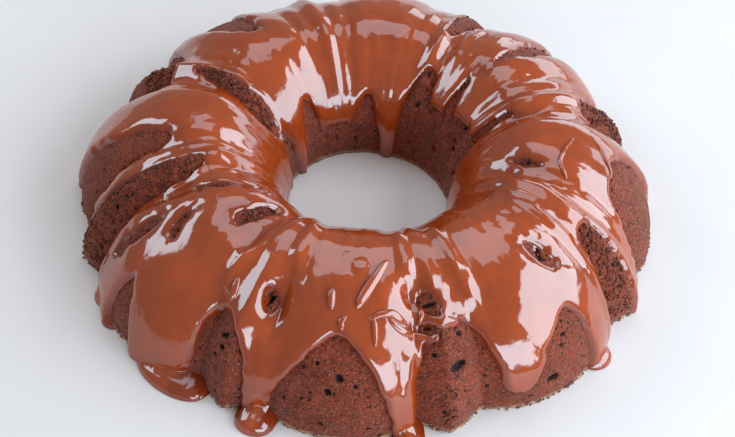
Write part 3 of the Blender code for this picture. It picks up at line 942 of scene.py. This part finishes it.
def make_sponge_material():
    """Patchy brown with pale specks painted as highlights on crumb edges, paler at the foot, and
    painted dark as shade in every pore and hole.
    """
    material, tree, surface = new_material("chocolate_sponge", 0.9)
    surface.inputs["Specular IOR Level"].default_value = 0.15
    surface.inputs["Sheen Weight"].default_value = 0.20
    surface.inputs["Sheen Roughness"].default_value = 0.4
    surface.inputs["Sheen Tint"].default_value = (1.0, 0.80, 0.73, 1.0)
    place = node(tree, "ShaderNodeTexCoord").outputs["Object"]
    pored = [pores(tree, *sizes) for sizes in PORE_SIZES]
    # painted shade inside the modelled holes and pits
    hole_shade = hole_shade_mask(tree, place)
    # one noise: it roughens the bump and places the painted highlights of the pale specks
    grain_and_glints = node(tree, "ShaderNodeTexNoise", {"Scale": 1100.0, "Detail": 4.0, "Roughness": 0.7})
    tree.links.new(place, grain_and_glints.inputs["Vector"])
    crumb = two_colours(tree, patch(tree, 95.0, 1.0), SPONGE_DARK, SPONGE_LIGHT)
    # painted highlights: pale specks where the noise is high
    speckle_highlight = node(tree, "ShaderNodeMapRange", {"From Min": 0.52, "From Max": 0.74, "To Max": 0.75})
    tree.links.new(grain_and_glints.outputs[0], speckle_highlight.inputs["Value"])
    crumb_with_glints = two_colours(tree, speckle_highlight.outputs["Result"], crumb, SPONGE_SPECK_HIGHLIGHT)
    footed = two_colours(tree, pale_foot(tree, place), crumb_with_glints, SPONGE_FOOT)
    # painted shade: pores and holes take the near-black colour
    holes = largest(tree, *pored, hole_shade)
    tree.links.new(two_colours(tree, holes, footed, SPONGE_PORE_SHADE), surface.inputs["Base Color"])
    height = node(tree, "ShaderNodeMath", {1: -1.0}, operation="MULTIPLY_ADD")
    graininess = node(tree, "ShaderNodeMath", {1: 0.6}, operation="MULTIPLY")
    bump = node(tree, "ShaderNodeBump", {"Strength": 1.0, "Distance": 0.0011})
    link(tree, grain_and_glints.outputs[0], graininess.inputs[0], largest(tree, *pored), height.inputs[0],
         graininess.outputs[0], height.inputs[2], height.outputs[0], bump.inputs["Height"],
         bump.outputs["Normal"], surface.inputs["Normal"])
    return material


sponge_material = make_sponge_material()
print(sponge_material.name, len(sponge_material.node_tree.nodes), "nodes")

# %% [markdown]
# The glaze is melted chocolate and cream: smooth and wet-looking. Its gloss comes from a low
# roughness, broken a little by patches where it has begun to set, and from a faint swell that
# bends the reflections. Near its edges it is thinner and redder, which the distance to the edge,
# kept on the mesh as a value, drives.

# %% Glaze material
GLAZE_LIGHT = (0.352, 0.050, 0.008)
GLAZE_DARK = (0.225, 0.030, 0.005)
GLAZE_RIM = (0.200, 0.022, 0.003)


def make_glaze_material():
    """Patchy brown, redder near the edge, under a gloss that patches and a swell break up."""
    material, tree, surface = new_material("chocolate_glaze", 0.14)
    surface.inputs["Specular IOR Level"].default_value = 1.0
    inside = node(tree, "ShaderNodeAttribute", attribute_name="inside").outputs["Fac"]
    depth = node(tree, "ShaderNodeMapRange", {"From Min": 0.0, "From Max": 0.0026})
    tree.links.new(inside, depth.inputs["Value"])
    body = two_colours(tree, patch(tree, 42.0, 2.0), GLAZE_DARK, GLAZE_LIGHT)
    colour = two_colours(tree, depth.outputs["Result"], GLAZE_RIM, body)
    tree.links.new(colour, surface.inputs["Base Color"])
    dullness = node(tree, "ShaderNodeMapRange", {"To Min": 0.06, "To Max": 0.13})
    tree.links.new(patch(tree, 30.0, 3.0), dullness.inputs["Value"])
    tree.links.new(dullness.outputs["Result"], surface.inputs["Roughness"])
    place = node(tree, "ShaderNodeTexCoord")
    swell = node(tree, "ShaderNodeTexNoise", {"Scale": 110.0, "Detail": 2.0})
    bump = node(tree, "ShaderNodeBump", {"Strength": 0.38, "Distance": 0.001})
    link(tree, place.outputs["Object"], swell.inputs["Vector"], swell.outputs[0], bump.inputs["Height"],
         bump.outputs["Normal"], surface.inputs["Normal"])
    return material


glaze_material = make_glaze_material()
print(glaze_material.name, len(glaze_material.node_tree.nodes), "nodes")

# %% [markdown]
# Each piece takes its material and rides on the one body. The sponge and the glaze stand in for
# the solids of the same form. The crumbs and the threads are new, and share their finishes.

# %% Put the pieces on the frame
# the threads count as well inside the glaze, so they take its body colour and not its rim's
WELL_INSIDE = 0.01
add_values(threads, "inside", np.full(len(threads.data.vertices), WELL_INSIDE))
for piece, material, slot in (
    (sponge, sponge_material, "sponge"),
    (crumbs, sponge_material, "sponge"),
    (glaze, glaze_material, "glaze"),
    (threads, glaze_material, "glaze"),
):
    piece.data.materials.append(material)
    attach(piece, "root")
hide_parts("cake")
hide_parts("glaze")
print("on the frame:", [piece.name for piece in (sponge, crumbs, glaze, threads)])

# %% [markdown]
# A bright food picture: a large soft window to the right, a lower one in front that the drips
# mirror, one behind on the left that streaks the shoulders, and dim surroundings, so that the
# glaze stays deep brown between its highlights. It shows each light as a pale patch with a clear
# edge, so the places and sizes of the lights matter as much as their strength.

# %% Floor and light
FLOOR_WIDTH = 6.0
FLOOR_DARK, FLOOR_LIGHT = (0.665, 0.580, 0.560), (0.695, 0.610, 0.590)
WORLD_COLOUR, WORLD_STRENGTH = (1.0, 0.91, 0.85), 0.33
LIGHT_COLOUR = (0.69, 0.88, 1.0)
LIT_SPOT = (0.0, 0.0, 0.03)
# name, azimuth, elevation, distance, width, height, brightness in watts a square metre
SOFTBOXES = (
    ("window_right", -4.0, 31.0, 1.15, 1.40, 0.76, 20.5),
    ("window_front", -64.0, 16.0, 1.10, 0.98, 0.40, 23.5),
    ("window_left_back", 160.0, 34.0, 1.00, 0.52, 0.46, 16.5),
    ("window_right_back", 56.0, 10.0, 1.20, 1.10, 0.34, 9.0),
    ("ceiling", 85.0, 66.0, 1.20, 0.90, 0.80, 6.0),
)


def pale_floor(width):
    """A plane under the cake with a nearly white, slightly mottled finish."""
    bpy.ops.mesh.primitive_plane_add(size=width)
    floor = bpy.context.object
    floor.name = "floor"
    material, tree, surface = new_material("pale_floor", 0.6)
    mottled = two_colours(tree, patch(tree, 6.0, 9.0), FLOOR_DARK, FLOOR_LIGHT)
    tree.links.new(mottled, surface.inputs["Base Color"])
    floor.data.materials.append(material)
    return floor


def softbox(name, azimuth, elevation, distance, width, height, brightness):
    """A rectangular light in the given direction that faces the cake."""
    lamp = bpy.data.lights.new(name, "AREA")
    lamp.shape, lamp.color = "RECTANGLE", LIGHT_COLOUR
    lamp.size, lamp.size_y, lamp.energy = width, height, brightness * width * height
    holder = bpy.data.objects.new(name, lamp)
    turn, high = math.radians(azimuth), math.radians(elevation)
    away = Vector((math.cos(turn) * math.cos(high), math.sin(turn) * math.cos(high), math.sin(high)))
    place = Matrix.Translation(Vector(LIT_SPOT) + away * distance)
    holder.matrix_world = place @ away.to_track_quat("Z", "Y").to_matrix().to_4x4()
    bpy.context.scene.collection.objects.link(holder)


floor = pale_floor(FLOOR_WIDTH)
for light in SOFTBOXES:
    softbox(*light)
world = bpy.data.worlds.new("pale room")
world.use_nodes = True
world.node_tree.nodes["Background"].inputs["Color"].default_value = (*WORLD_COLOUR, 1)
world.node_tree.nodes["Background"].inputs["Strength"].default_value = WORLD_STRENGTH
bpy.context.scene.world = world
bpy.context.scene.view_settings.view_transform = "Standard"
print("floor", FLOOR_WIDTH, "m and", len(SOFTBOXES), "lights")

# %% Sizes, and the end
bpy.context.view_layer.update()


def plain(box):
    """A box's corners as plain lists of numbers."""
    return [[float(value) for value in corner] for corner in box]


print("CAD box", plain(cad_box))
